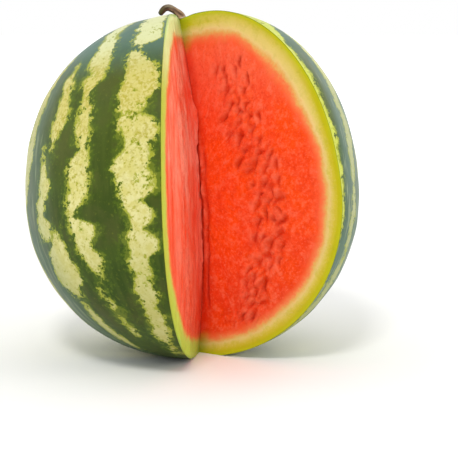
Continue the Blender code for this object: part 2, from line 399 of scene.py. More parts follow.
def row_heights():
    """Ring heights from the top to the bottom, crowded where the skin turns in over the ends."""
    first = math.asin((FIRST_RING_RADIUS / RADIUS) ** (TOP_FULLNESS / 2))
    last = math.pi - math.asin((LAST_RING_RADIUS / RADIUS) ** (BOTTOM_FULLNESS / 2))
    polar = np.linspace(first, last, HEIGHT_STEPS)
    upper = polar < math.pi / 2
    rise = np.where(upper, TOP_RISE, -BOTTOM_DROP)
    fullness = np.where(upper, TOP_FULLNESS, BOTTOM_FULLNESS)
    height = rise * np.abs(np.cos(polar)) ** (2 / fullness)
    by_angle = (polar - first) / (last - first)
    by_height = (height[0] - height) / (height[0] - height[-1])
    walk = SHARE_BY_ANGLE * by_angle + (1 - SHARE_BY_ANGLE) * by_height
    return np.interp(np.linspace(0, 1, ROWS), walk, height)


def reach_of_skin(core, direction, radius):
    """How far the skin is from the cut's line in a direction, level with it."""
    across = core[..., 0] * np.sin(direction) - core[..., 1] * np.cos(direction)
    inside = across**2 - (core[..., 0] ** 2 + core[..., 1] ** 2 - radius**2)
    return np.sqrt(np.clip(inside, 0, None)) - across


def grown(points):
    """Adds lobes, the high shoulder, the stalk's dimple and the wide shallow dent left of it."""
    x, y, z = points[..., 0], points[..., 1], points[..., 2]
    radius = np.hypot(x, y)
    direction = np.arctan2(x, -y)
    swell = 1 + LOBE_DEPTH / RADIUS * (radius / RADIUS) * np.cos(LOBES * direction)
    up = np.clip(z, 0, None) / TOP_RISE
    from_side = direction - math.radians(SHOULDER_SIDE)
    lift = SHOULDER_RISE * up**2 * (radius / RADIUS) * np.cos(from_side)
    from_stalk = np.hypot(x - STALK_FOOT[0], y - STALK_FOOT[1])
    from_dent = np.hypot(x - DENT_PLACE[0], y - DENT_PLACE[1])
    sink = DIMPLE_DEPTH * hump(from_stalk, 0, DIMPLE_WIDTH)
    sink = sink + DENT_DEPTH * hump(from_dent, 0, DENT_WIDTH)
    return vectors(x * swell, y * swell, z + lift - sink * up**SINK_FADE)


def stood(points):
    """From the fruit's own frame to its place on the surface."""
    back, side = math.radians(-LEAN), math.radians(SIDE_LEAN)
    tip = np.array(
        ((1, 0, 0), (0, math.cos(back), -math.sin(back)), (0, math.sin(back), math.cos(back)))
    )
    roll = np.array(
        ((math.cos(side), 0, math.sin(side)), (0, 1, 0), (-math.sin(side), 0, math.cos(side)))
    )
    return MIDDLE + points @ (roll @ tip).T


# Stripes

def patch_reach(patch, turn, height_mm, radius_mm):
    """How far inside one pale patch each skin point lies, in mm. Negative outside it."""
    at, left, right = zip(*sorted(patch))
    left = np.interp(height_mm, at, np.mod(left, 360))
    right = np.interp(height_mm, at, np.mod(right, 360))
    across = np.minimum(turn - left, right - turn) * radius_mm * math.pi / 180
    ends = np.minimum(height_mm - (at[0] - PATCH_END_MM), (at[-1] + PATCH_END_MM) - height_mm)
    return np.minimum(across, ends)


def wave_sum(waves, starts, height):
    return sum(
        share * math.sin(height / length + start)
        for (share, length), start in zip(waves, starts)
    )


def back_patch(centre, draw):
    """A stripe of the hidden side: it wanders, swells and pinches on its way down."""
    rows = []
    first, second, third = (draw.uniform(0, 2 * math.pi) for _ in range(3))
    for height in range(*BACK_HEIGHTS_MM):
        wander = BACK_WANDER * wave_sum(BACK_WANDER_WAVES, (first, second), height)
        swell = 1 + wave_sum(BACK_SWELL_WAVES, (third, first), height)
        half = BACK_HALF_WIDTH * swell * draw.uniform(*BACK_WIDTH_DRAW)
        middle = centre + wander + draw.uniform(-BACK_JITTER, BACK_JITTER)
        rows.append((height, middle - half, middle + half))
    return rows


def stripe_reach(turn, height_mm, radius_mm):
    """How far inside the nearest pale stripe each skin point lies, in mm. Negative in the green."""
    patches = list(SEEN_PATCHES)
    draw = random.Random(BACK_SEED)
    for i in range(1, BACK_STRIPES + 1):
        centre = BACK_SPAN[0] + (BACK_SPAN[1] - BACK_SPAN[0]) * i / (BACK_STRIPES + 1)
        patches.append(back_patch(centre + draw.uniform(-BACK_SHIFT, BACK_SHIFT), draw))
    reaches = [patch_reach(patch, turn, height_mm, radius_mm) for patch in patches]
    return np.clip(np.max(reaches, axis=0), -STRIPE_REACH_MM, STRIPE_REACH_MM)


# Relief of the cut faces. Distances and heights are in mm, and the answer is how far it stands out.

def draw_pits(side):
    """Where the pits of one cut face lie: distance from the core, height, length, width, tilt."""
    pits = list(LARGE_PITS_MM) if side == "right" else []
    draw = random.Random(PIT_SEED[side])
    for _ in range(PIT_TRIES):
        if len(pits) >= PIT_COUNT[side]:
            break
        height = draw.uniform(*PIT_HEIGHTS_MM)
        middle = float(np.interp(height, *zip(*SEED_BAND_MM)))
        inward = PIT_INWARD[0] if height > 0 else PIT_INWARD[1]
        out = middle + SEED_BAND_HALF_MM * draw.triangular(-inward, 1, 0)
        if any(math.hypot(out - pit[0], height - pit[1]) < PIT_APART_MM for pit in pits):
            continue
        tilt = draw.gauss(*PIT_TILT[side])
        size = draw.uniform(*PIT_SIZE)
        length = PIT_LENGTH_MM * size * PIT_STRETCH[side]
        width = PIT_WIDTH_MM * size * draw.uniform(*PIT_PLUMPNESS)
        pits.append((out, height, length, width, tilt))
    return pits


def hollow(along, over, reach):
    """1 in the middle of a pit, and 0 beyond its ends, its gentle side and its steep edge."""
    across = np.abs(over / np.where(over > 0, *reach))
    return np.exp(-(np.abs(along) ** 2.4) - across**1.8)


def bank(along, over, place, width):
    """1 on a low bank that lies along a pit."""
    return np.exp(-((along / BANK_LENGTH) ** 2) - ((over - place) / width) ** 2)


def pit_relief(out, up, side):
    """Slanted dents that deepen slowly to one steep edge. Gives relief, painted shade and painted
    highlight masks.
    """
    relief, floor, lip = np.zeros_like(out), np.zeros_like(out), np.zeros_like(out)
    ragged_out = out + PIT_RAGGED_MM * soft_noise(out, up, PIT_RAGGED_LENGTH_MM, 91)
    ragged_up = up + PIT_RAGGED_MM * soft_noise(out, up, PIT_RAGGED_LENGTH_MM, 92)
    draw = random.Random(PIT_SEED[side] + 100)
    for place, height, length, width, tilt in draw_pits(side):
        turn = math.radians(tilt)
        beside, above = ragged_out - place, ragged_up - height
        along = (beside * math.cos(turn) + above * math.sin(turn)) / (length / 2)
        over = (-beside * math.sin(turn) + above * math.cos(turn)) / (width / 2)
        bend = draw.uniform(*PIT_BEND)
        depth = draw.uniform(*PIT_DEPTH) * min(PIT_DEEPEST_MM, PIT_DEPTH_PER_WIDTH * width)
        over = over + bend * along**2
        swollen = bank(along, over, *BANK)
        brim = bank(along, over, *BRIM)
        relief += (BANK_RISE * swollen + BRIM_RISE * brim) * width / 4
        relief -= depth * hollow(along, over, HOLLOW_REACH)
        # Painted shade: a dark mask over the pit's floor, shifted onto its steep wall
        shaded = hollow(along, over + SHADE_SHIFT, SHADE_REACH)
        floor = np.maximum(floor, shaded * draw.uniform(*PIT_SHADE))
        # Painted highlight: a pale mask on the swollen bank and on the brim
        lip = np.maximum(lip, np.maximum(swollen, 0.5 * brim) * draw.uniform(*PIT_HIGHLIGHT))
    return relief, floor, lip


def torn_lumps(out, up, side):
    """Low torn lumps that run slantwise between the pits, in the band of seeds only."""
    middle = np.interp(up, *zip(*SEED_BAND_MM))
    band = hump(out, middle - 2, SEED_BAND_HALF_MM + 2) * window(up, *LUMP_SPAN_MM, LUMP_EASE_MM)
    turn = math.radians(PIT_TILT[side][0])
    along = out * math.cos(turn) + up * math.sin(turn)
    over = -out * math.sin(turn) + up * math.cos(turn)
    lumps = 0.6 * soft_noise(along + 300, over + 300, 4.6, 41)
    lumps = lumps + soft_noise(along, over * 2 + 300, 3.0, 42)
    return band * lumps


def right_relief(out, up):
    """Pits and torn lumps, and beside the core a crack, the torn strip and a broken groove."""
    relief, floor, lip = pit_relief(out, up, "right")
    lumps = torn_lumps(out, up, "right")
    relief += LUMP_HEIGHT_MM["right"] * lumps
    # Painted highlight on the tops of the torn lumps, painted shade in the low places between them
    lip = np.maximum(lip, np.clip(lumps, 0, 1) * 0.75)
    floor = np.maximum(floor, np.clip(-lumps, 0, 1) * 0.45)

    wander = 0.6 * soft_waves(up, 15, 3) + 0.4 * soft_waves(up, 5, 4)
    notches = soft_waves(up, 2.3, 5)
    ragged = 0.55 + 0.45 * soft_waves(up, 6, 9) + 0.40 * soft_waves(up, 2.6, 10)
    place, width, rise, span = STRIP_MM
    span = window(up, *span, SPAN_EASE_MM)
    across = out - (place + wander + 0.5 * notches)
    strip = hump(across, 0, width * np.where(across > 0, *STRIP_FLANKS))
    strip = strip * span * np.clip(ragged, STRIP_LOWEST, None)
    torn = hump(out, place, TORN_WIDTH_MM) * span
    relief += rise * strip + TORN_HEIGHT_MM * torn * soft_noise(out, up * 0.5, 1.6, 12)
    place, width, rise, span = CRACK_MM
    crack = hump(out, place + 0.25 * wander, width) * window(up, *span, SPAN_EASE_MM)
    crack = crack * (0.8 + 0.3 * notches)
    relief += rise * crack
    place, width, rise, span = GROOVE_MM
    groove = hump(out, place + wander + 0.5 * notches, width) * window(up, *span, SPAN_EASE_MM)
    groove = groove * np.clip(0.75 + 0.5 * soft_waves(up, 7, 11), 0, 1)
    relief += rise * groove
    # Painted highlight on the raised torn strip; painted shade in the crack, the groove and the
    # notches
    lip = np.maximum(lip, 0.9 * strip)
    floor = np.maximum(floor, 0.8 * crack + 0.75 * groove)
    floor = np.maximum(floor, 0.30 * torn * np.clip(-notches, 0, 1))
    return relief, floor, lip


def left_relief(out, up):
    """Softer pits and torn lumps under long folds and slivers, and flesh swollen over the core."""
    masks = pit_relief(out, up, "left")
    relief, floor, lip = (share * mask for share, mask in zip(LEFT_PIT_SHARES, masks))
    folds = soft_noise(out, up * 0.12, 13, 31) + 0.35 * soft_noise(out, up * 0.2, 5.5, 32)
    relief += FOLD_HEIGHT_MM * folds * window(out, 8, 96, 8)
    for height, place, width in LEFT_SWELLS_MM:
        relief += height * hump(out, place, width)
    relief += LUMP_HEIGHT_MM["left"] * torn_lumps(out, up, "left")
    inner = window(up, *INNER_SPAN_MM, 14) * hump(out, INNER_OUT_MM, INNER_WIDTH_MM)
    ragged = 0.9 * soft_noise(out, up * 0.6, 2.2, 33) + 0.9 * soft_waves(up, 6, 34)
    bulge = INNER_BULGE_MM * window(up, *INNER_BULGE_SPAN_MM, SPAN_EASE_MM)
    relief += inner * (0.5 + ragged + bulge)
    slivers = soft_noise(out, up * 0.14, 2.4, 35) * window(out, 6, 100, 6)
    relief += SLIVER_HEIGHT_MM * slivers
    # Painted highlight on the crests of folds and slivers, painted shade between the slivers
    lip = np.maximum(lip, 0.5 * np.clip(folds, 0, 1) + 0.5 * np.clip(slivers, 0, 1))
    floor = np.maximum(floor, 0.25 * np.clip(-slivers, 0, 1))
    return relief, floor, lip


def face_relief(out, up, side):
    """All relief of one cut face in mm, with its masks of painted shade and painted highlight."""
    relief, floor, lip = (right_relief if side == "right" else left_relief)(out, up)
    for i, (height, size) in enumerate(FACE_LUMPS_MM):
        relief += height * soft_noise(out, up, size, FACE_SEED[side] + i)
    return relief, floor, lip


# Meshes

def new_object(name, data):
    made = bpy.data.objects.new(name, data)
    bpy.context.collection.objects.link(made)
    return made


def ringed(name, points, numbers, crease, downwards):
    """One closed smooth mesh through rings of points, with numbers or vectors on its points."""
    rings, total = points.shape[:2]
    index = np.arange(rings * total).reshape(rings, total)
    beside = np.roll(index, -1, axis=1)
    quads = np.stack((index[:-1], beside[:-1], beside[1:], index[1:]), axis=-1).reshape(-1, 4)
    ends = (index[0][::-1], index[-1])
    if downwards:
        quads = quads[:, (0, 3, 2, 1)]
        ends = (index[0], index[-1][::-1])
    mesh = bpy.data.meshes.new(name)
    faces = [*quads.tolist(), *(end.tolist() for end in ends)]
    mesh.from_pydata(points.reshape(-1, 3).tolist(), [], faces)
    mesh.validate()
    for label, values in numbers.items():
        vector = values.ndim == 3
        made = mesh.attributes.new(label, "FLOAT_VECTOR" if vector else "FLOAT", "POINT")
        made.data.foreach_set("vector" if vector else "value", values.astype(np.float32).ravel())
    mesh.shade_smooth()
    mesh.set_sharp_from_angle(angle=math.radians(crease))
    return new_object(name, mesh)


def cut_side(heights, core, angle, side):
    """One cut face between the core and the rim. Its columns run the way that the rows run."""
    way = 1 if side == "right" else -1
    reach = reach_of_skin(core, way * angle, shell_radius(heights))[:, None]
    direction = way * angle[:, None]
    step = np.arange(1, CUT_COLUMNS)[None, :] / CUT_COLUMNS
    step = (1 - CORE_CROWDING) * step + CORE_CROWDING * step**2
    out = reach * step
    facing = way * vectors(-np.cos(direction), -np.sin(direction), 0.0)
    up = np.broadcast_to(heights[:, None], out.shape)
    relief, floor, lip = face_relief(out / MM, up / MM, side)
    ends = smooth(*CORE_FADE_MM, out / MM) * smooth(*RIM_FADE_MM, (reach - out) / MM)
    plain = core[:, None, :] + level(direction) * out[..., None]
    found = {
        "place": plain + facing * (relief * ends * MM)[..., None],
        "depth": depth_below_skin(plain) / MM,
        "floor": floor * ends,
        "lip": lip * ends,
        "out": out / MM,
    }
    return {name: values[:, ::way] for name, values in found.items()}


def whole_rows(at_core, on_right, on_skin, on_left):
    """Numbers for every column of every row: the core, the right face, the skin, the left face."""
    parts = (at_core, on_right, on_skin, on_left)
    widths = (1, CUT_COLUMNS - 1, SKIN_COLUMNS + 1, CUT_COLUMNS - 1)
    spread = [part + np.zeros((ROWS, width)) for part, width in zip(parts, widths)]
    return np.concatenate(spread, axis=1)


def fruit_rings():
    """Every ring's points and what the paint needs to know of them, row by row."""
    heights = row_heights()
    up = heights[:, None] / MM
    core = vectors(through_three(CORE_X, heights), through_three(CORE_Y, heights), heights)
    right_angle = np.radians(through_three(RIGHT_ANGLE, heights))
    left_angle = np.radians(through_three(LEFT_ANGLE, heights))
    right = cut_side(heights, core, right_angle, "right")
    left = cut_side(heights, core, left_angle, "left")

    sweep = (2 * math.pi - right_angle - left_angle)[:, None]
    direction = right_angle[:, None] + sweep * np.linspace(0, 1, SKIN_COLUMNS + 1)[None, :]
    reach = reach_of_skin(core[:, None, :], direction, shell_radius(heights)[:, None])
    skin = core[:, None, :] + level(direction) * reach[..., None]
    turn = np.degrees(np.arctan2(skin[..., 0], -skin[..., 1])) % 360
    away = np.hypot(skin[..., 0], skin[..., 1])
    stripe = stripe_reach(turn, skin[..., 2] / MM, away / MM)
    from_left_cut = (direction[:, -1:] - direction) * reach / MM
    stripe = np.minimum(stripe, EDGE_LINE_STEEPNESS * from_left_cut - EDGE_LINE_MM)
    # Painted sheen: a cool pale reflection painted onto the skin on the right side, the left side
    # and the top
    bloom = smooth(*PAINTED_SHEEN_RIGHT_START, turn) * (1 - smooth(*PAINTED_SHEEN_RIGHT_END, turn))
    left_painted_sheen = window(turn, *PAINTED_SHEEN_LEFT_SPAN, PAINTED_SHEEN_LEFT_EASE)
    bloom = np.maximum(PAINTED_SHEEN_RIGHT_SHARE * bloom, PAINTED_SHEEN_LEFT_SHARE * left_painted_sheen)
    bloom = np.maximum(bloom, smooth(*PAINTED_SHEEN_TOP_MM, up))

    outward = skin / np.linalg.norm(skin, axis=-1, keepdims=True)
    from_cut = np.minimum(np.arange(SKIN_COLUMNS + 1), np.arange(SKIN_COLUMNS, -1, -1))
    calm = smooth(0, CALM_COLUMNS, from_cut)[None, :]
    skin = skin + outward * (SKIN_RIPPLE * ripples(skin, SKIN_RIPPLE_LENGTH, 2) * calm)[..., None]

    beyond, above = right["out"] - FIBRE_START_MM[0], up - FIBRE_START_MM[1]
    grain = (
        vectors(0, up, 0),
        vectors(FIBRE_FAN_MM * np.arctan2(above, beyond), np.hypot(above, beyond), 0),
        vectors(turn * RADIUS / MM * math.pi / 180, up, SKIN_GRAIN_MM),
        vectors(left["out"], up, LEFT_GRAIN_MM),
    )
    place = np.concatenate((core[:, None, :], right["place"], skin, left["place"]), axis=1)
    core_depth = depth_below_skin(core)[:, None] / MM
    at_core = {"depth": core_depth, "floor": CORE_SHADE, "lip": 0, "out": 0}
    return place, {
        **{name: whole_rows(at_core[name], right[name], 0, left[name]) for name in at_core},
        "stripe": whole_rows(0, 0, stripe, 0),
        "leftness": whole_rows(0.5, 0, 0, 1),
        "fresh": whole_rows(0, 0, window(turn, *FRESH_SPAN, FRESH_EASE), 0),
        "bloom": whole_rows(0, 0, bloom, 0),
        "up": whole_rows(up, up, up, up),
        "grain": np.concatenate(grain, axis=1),
    }


def build_melon():
    """The fruit's whole visible surface as one closed mesh: the skin and both cut faces."""
    place, numbers = fruit_rings()
    points = stood(grown(place))
    points[..., 2] = (points[..., 2] + np.sqrt(points[..., 2] ** 2 + GROUND_SOFTNESS**2)) / 2
    melon = ringed("striped_melon", points, numbers, MELON_CREASE, downwards=True)
    columns = np.tile(np.arange(points.shape[1]), ROWS - 1)
    on_skin = (columns >= CUT_COLUMNS) & (columns < CUT_COLUMNS + SKIN_COLUMNS)
    slots = np.concatenate((np.where(on_skin, 0, 1), (0, 0)))
    melon.data.materials.append(paint_skin())
    melon.data.materials.append(paint_flesh())
    melon.data.polygons.foreach_set("material_index", slots.astype(np.int32))
    return melon


def skin_over(x, y):
    """Points of the upper skin over places of the fruit's own frame."""
    share = 1 - (np.hypot(x, y) / RADIUS) ** TOP_FULLNESS
    return grown(vectors(x, y, TOP_RISE * share ** (1 / TOP_FULLNESS)))


def smooth_run():
    """The stalk's line and radius, as one smooth curve through its steps."""
    steps = np.array(STALK_RUN)
    ends = np.concatenate(([2 * steps[0] - steps[1]], steps, [2 * steps[-1] - steps[-2]]))
    at = np.linspace(0, len(steps) - 1, STALK_RINGS)
    i = np.minimum(at.astype(int), len(steps) - 2)
    t = (at - i)[:, None]
    before, first, second, after = ends[i], ends[i + 1], ends[i + 2], ends[i + 3]
    return (
        first
        + 0.5 * t * (second - before)
        + t**2 * (before - 2.5 * first + 2 * second - 0.5 * after)
        + 0.5 * t**3 * (3 * first - before - 3 * second + after)
    )


def stalk_grooves(turn, share):
    """How high the ridges stand round and along the stalk, and how high the fibres do."""
    twisted = turn + math.radians(STALK_TWIST) * share
    uneven = 0.7 * soft_noise(turn * 0.6 + 9, share * 7, 1.0, 74)
    ridge = np.cos(STALK_RIDGES * twisted + 1.2 * uneven)
    ridge = np.sign(ridge) * np.abs(ridge) ** STALK_RIDGE_ROUNDNESS * (0.75 + 0.5 * uneven)
    fibre = soft_noise(twisted * 6, share * 9, 1.0, 71)
    return ridge, fibre + 0.6 * soft_noise(twisted * 14, share * 22, 1.0, 72)


def build_stalk():
    """The dried stalk: ridged, twisted, flared onto the fruit and broken off bluntly."""
    heading = level(math.radians(STALK_BEARING))
    foot = skin_over(*map(np.array, STALK_FOOT)) + np.array((0, 0, STALK_GAP))
    run = smooth_run()
    line = foot + run[:, :1] * heading + vectors(0, 0, run[:, 1])
    forward = np.gradient(line, axis=0)
    forward[0] = (0, 0, 1)
    forward /= np.linalg.norm(forward, axis=1, keepdims=True)
    side = np.cross(forward, np.cross(heading, (0, 0, 1))[None, :])
    side /= np.linalg.norm(side, axis=1, keepdims=True)
    over = np.cross(forward, side)

    share = np.linspace(0, 1, STALK_RINGS)[:, None]
    turn = 2 * math.pi * np.arange(STALK_SIDES)[None, :] / STALK_SIDES
    ridge, fibre = stalk_grooves(turn, share)
    flare = STALK_FLARE * hump(share, 0, STALK_FLARE_RUN)
    swell = STALK_SWELL + flare + STALK_RIDGE_DEPTH * ridge + STALK_FIBRE_DEPTH * fibre
    ring = np.cos(turn)[..., None] * side[:, None, :] + np.sin(turn)[..., None] * over[:, None, :]
    points = line[:, None, :] + ring * (run[:, 2:] * swell)[..., None]
    lowest = skin_over(points[..., 0], points[..., 1])[..., 2] + STALK_GAP
    near_foot = run[:, :1] < STALK_FOOT_RUN
    points[..., 2] = np.where(near_foot, np.maximum(points[..., 2], lowest), points[..., 2])
    points[0, :, 2] = lowest[0]
    bow = (math.pi / 2) * np.arange(1, STALK_TIP_RINGS)[:, None, None] / STALK_TIP_RINGS
    rounded = line[-1] + (points[-1] - line[-1]) * np.cos(bow)
    rounded = rounded + forward[-1] * STALK_TIP_LENGTH * run[-1, 2] * np.sin(bow)
    points = np.concatenate((points, rounded))

    crest = np.concatenate((ridge, np.repeat(ridge[-1:], STALK_TIP_RINGS - 1, axis=0)))
    share = np.linspace(0, 1, len(points))[:, None] + 0 * turn
    numbers = {
        "share": share,
        "crest": 0.5 + 0.5 * crest,
        "under": 0.5 + 0.5 * np.cos(turn) + 0 * share,
        "grain": vectors(np.cos(turn) * 3, np.sin(turn) * 3, share * 18),
    }
    stalk = ringed("dry_stalk", stood(points), numbers, STALK_CREASE, downwards=False)
    stalk.data.materials.append(paint_stalk())
    return stalk


# Paint. Shader sums are written as ordinary expressions on Wire.

class Wire:
    """A node's output. Sums on it add Math nodes."""

    def __init__(self, nodes, socket):
        self.nodes = nodes
        self.socket = socket

    def sum(self, operation, first, second):
        return self.nodes.node("ShaderNodeMath", {"operation": operation}, {0: first, 1: second})

    def __add__(self, other):
        return self.sum("ADD", self, other)

    def __sub__(self, other):
        return self.sum("SUBTRACT", self, other)

    def __rsub__(self, other):
        return self.sum("SUBTRACT", other, self)

    def __mul__(self, other):
        return self.sum("MULTIPLY", self, other)

    def __truediv__(self, other):
        return self.sum("DIVIDE", self, other)

    def __rtruediv__(self, other):
        return self.sum("DIVIDE", other, self)

    def step(self, low, high):
        """0 below low, 1 above high, and an even S between them."""
        sockets = {"Value": self, "From Min": low, "From Max": high}
        return self.nodes.node("ShaderNodeMapRange", {"interpolation_type": "SMOOTHSTEP"}, sockets)

    __radd__ = __add__
    __rmul__ = __mul__


class Nodes:
    """The nodes of one material or of the studio, made one after the other."""

    def __init__(self, tree):
        self.tree = tree

    def join(self, socket, value):
        if isinstance(value, Wire):
            self.tree.links.new(value.socket, socket)
        elif isinstance(value, tuple) and socket.type == "RGBA":
            socket.default_value = (*value, 1.0)
        else:
            socket.default_value = value

    def node(self, kind, settings=None, sockets=None, output=0):
        made = self.tree.nodes.new(kind)
        for name, value in (settings or {}).items():
            if name == "stops":
                self.fill_ramp(made.color_ramp, value)
            else:
                setattr(made, name, value)
        for name, value in (sockets or {}).items():
            self.join(made.inputs[name], value)
        return Wire(self, made.outputs[output])

    def fill_ramp(self, ramp, stops):
        while len(ramp.elements) < len(stops):
            ramp.elements.new(0.5)
        for element, (position, colour) in zip(ramp.elements, stops):
            element.position = position
            element.color = (*colour, 1.0)


class Paint(Nodes):
    """One material."""

    def __init__(self, name, **finish):
        self.material = bpy.data.materials.new(name)
        self.material.use_nodes = True
        super().__init__(self.material.node_tree)
        self.shader = self.tree.nodes["Principled BSDF"]
        self.set(**finish)

    def set(self, **finish):
        """Values or wires for the shader's own sockets, named with _ for a space."""
        for name, value in finish.items():
            self.join(self.shader.inputs[name.replace("_", " ")], value)

    def of_points(self, name, output="Fac"):
        """A number or a vector that the mesh has on its points."""
        return self.node("ShaderNodeAttribute", {"attribute_name": name}, output=output)

    def place(self):
        return self.node("ShaderNodeTexCoord", output="Object")

    def grain(self, *stretch):
        """The places along and across the surface's grain, each way stretched by its share."""
        sockets = {0: self.of_points("grain", "Vector"), 1: stretch}
        return self.node("ShaderNodeVectorMath", {"operation": "MULTIPLY"}, sockets)

    def noise(self, where, scale, detail=3.0, rough=0.5, swirl=0.0):
        sockets = {"Vector": where, "Scale": scale, "Detail": detail, "Roughness": rough}
        sockets["Distortion"] = swirl
        return self.node("ShaderNodeTexNoise", None, sockets, "Fac")

    def mix(self, factor, first, second):
        """A mixed colour. Several sockets of the node share one name, so they go by number."""
        settings = {"data_type": "RGBA", "clamp_factor": True}
        return self.node("ShaderNodeMix", settings, {"Factor": factor, 6: first, 7: second}, 2)

    def coated(self, colour, *coats):
        """A colour with coats over it, each one a pair: how far it covers, and its colour."""
        for cover, coat in coats:
            colour = self.mix(cover, colour, coat)
        return colour

    def ramp(self, value, stops):
        return self.node("ShaderNodeValToRGB", {"stops": stops}, {"Fac": value}, "Color")

    def bump(self, height, distance, strength=1.0):
        sockets = {"Height": height, "Distance": distance, "Strength": strength}
        return self.node("ShaderNodeBump", None, sockets, "Normal")


DEEP_GREEN = (0.031, 0.060, 0.004)
MID_GREEN = (0.048, 0.082, 0.007)
LIT_GREEN = (0.092, 0.112, 0.012)
BROWN_GREEN = (0.066, 0.080, 0.014)
EDGE_GREEN = (0.085, 0.150, 0.006)
PAINTED_SHEEN_GREEN = (0.105, 0.205, 0.175)
FRINGE_GREEN = (0.32, 0.35, 0.022)
FRESH_YELLOW = (0.55, 0.62, 0.060)
CREAM = (0.62, 0.57, 0.18)
PALE_CREAM = (0.71, 0.67, 0.31)
STRAW = (0.42, 0.36, 0.035)
HIGH_CREAM = (0.54, 0.45, 0.085)
LOW_CREAM = (0.42, 0.42, 0.13)
PAINTED_SHEEN_CREAM = (0.66, 0.70, 0.40)
SIDE_SHEEN_CREAM = (0.21, 0.25, 0.075)


def paint_skin():
    """Waxy dark green skin with jagged cream stripes that fray to yellow-green specks."""
    paint = Paint("striped_skin", IOR=1.20, Coat_Weight=0.06, Coat_Roughness=0.22)
    where = paint.place()
    fresh, bloom, up, stripe = map(paint.of_points, ("fresh", "bloom", "up", "stripe"))
    lobes = paint.noise(where, 62, 3, 0.55)
    teeth = paint.noise(where, 200, 4, 0.72)
    specks = paint.noise(where, 360, 3, 0.65, 0.3)
    patchy = paint.noise(where, 28, 3, 0.55)
    veins = paint.noise(where, 150, 5, 0.72)
    clouds = paint.noise(where, 34, 4, 0.6)
    streaks = paint.noise(paint.grain(0.16, 0.030, 1.0), 1.0, 3, 0.6)
    # Painted sheen below the top, on the sides: it greys the pale stripes and streaks the green
    side_painted_sheen = bloom * (1 - up.step(60, 105))

    # How far inside a stripe in mm, once its edge is frayed, and the green islands within it
    reach = 1.0 + stripe + (lobes - 0.5) * 8
    reach = reach + (teeth - 0.5) * 26 + (specks - 0.5) * 14
    pale = reach.step(-0.3, 0.3)
    inward = reach.step(0.0, 7.0) * 0.13 - patchy.step(0.50, 0.62) * 0.11
    islands = specks * 0.5 + teeth * 0.5 - 0.50 - inward - bloom * 0.03
    yellow = 1 - (1 - islands.step(-0.050, 0.01)) * reach.step(0.2, 2.2)
    green_island = islands.step(0.030, 0.055) * 0.8

    flecks = (specks * 0.5 + veins * 0.5).step(0.47, 0.57)
    light = paint.coated(
        CREAM,
        (veins.step(0.40, 0.60), PALE_CREAM),
        ((teeth * 0.5 + specks * 0.5).step(0.52, 0.62) * 0.85, STRAW),
        # Painted sheen: cool pale over the stripes on the top and both sides
        (bloom * 0.8, PAINTED_SHEEN_CREAM),
        (flecks * up.step(-20, 60) * (1 - bloom) * 0.85, STRAW),
        ((1 - up.step(-80, -5)) * 0.50, LOW_CREAM),
        (up.step(15, 75) * (1 - bloom) * 0.40, HIGH_CREAM),
        # Painted sheen on the sides makes the stripes greyer
        (side_painted_sheen * 0.85, SIDE_SHEEN_CREAM),
        (fresh * 0.8, FRESH_YELLOW),
        (yellow * 0.9, FRINGE_GREEN),
    )
    green = paint.coated(
        DEEP_GREEN,
        (streaks.step(0.38, 0.64), MID_GREEN),
        (clouds.step(0.44, 0.64) * 0.8, BROWN_GREEN),
        # Painted light: the green is painted lighter higher up
        (up.step(-60, 70) * (0.15 + clouds * 0.5), LIT_GREEN),
        (specks.step(0.58, 0.74) * 0.20, FRINGE_GREEN),
        (reach.step(-6.0, 0.5) * 0.55, EDGE_GREEN),
        # Painted sheen on the green: cool pale over the top and both sides, with pale streaks of it
        # on the sides
        (bloom * (0.35 + patchy * 0.7), PAINTED_SHEEN_GREEN),
        (side_painted_sheen * streaks.step(0.50, 0.66) * 0.35, PAINTED_SHEEN_CREAM),
    )
    paint.set(Base_Color=paint.mix(pale * (1 - green_island), green, light))

    waxy = paint.noise(where, 90, 3, 0.5)
    pores = paint.noise(where, 1500, 2, 0.5)
    relief = waxy * 0.6 + pores * 0.10 + pale * 0.10
    paint.set(Roughness=0.36 + waxy * 0.18, Normal=paint.bump(relief, 0.0006, 0.35))
    return paint.material


RIND_STOPS = (
    (0.00, (0.20, 0.28, 0.010)),
    (0.025, (0.48, 0.52, 0.010)),
    (0.14, (0.52, 0.49, 0.008)),
    (0.24, (0.58, 0.52, 0.018)),
    (0.32, (0.71, 0.61, 0.15)),
    (0.40, (0.80, 0.62, 0.27)),
    (0.48, (0.76, 0.46, 0.13)),
    (0.58, (0.86, 0.24, 0.080)),
    (0.76, (0.91, 0.105, 0.032)),
    (1.00, (0.92, 0.075, 0.014)),
)
RIND_SCALE_MM = 29.0
CRIMSON = (0.70, 0.024, 0.004)
ORANGE_RED = (0.97, 0.085, 0.006)
PALE_FLESH = (0.97, 0.22, 0.12)
# Dark red of painted shade in the hollows
HOLLOW_SHADE_RED = (0.44, 0.014, 0.002)
CORE_SHADE_RED = (0.66, 0.020, 0.003)
CORE_SHADE_OLIVE = (0.34, 0.34, 0.008)
HIGH_RIND = (0.72, 0.62, 0.20)
MOSS_RIND = (0.38, 0.40, 0.015)
LOW_RIND = (0.62, 0.52, 0.07)
LEFT_EDGE = (0.27, 0.42, 0.040)
LEFT_LOW_RED = (0.90, 0.075, 0.022)
LEFT_FLESH = (0.92, 0.105, 0.045)
LEFT_HIGHLIGHT_PINK = (0.99, 0.42, 0.30)
LEFT_RIND = (0.50, 0.66, 0.09)
LEFT_RIND_TOP = (0.72, 0.80, 0.36)


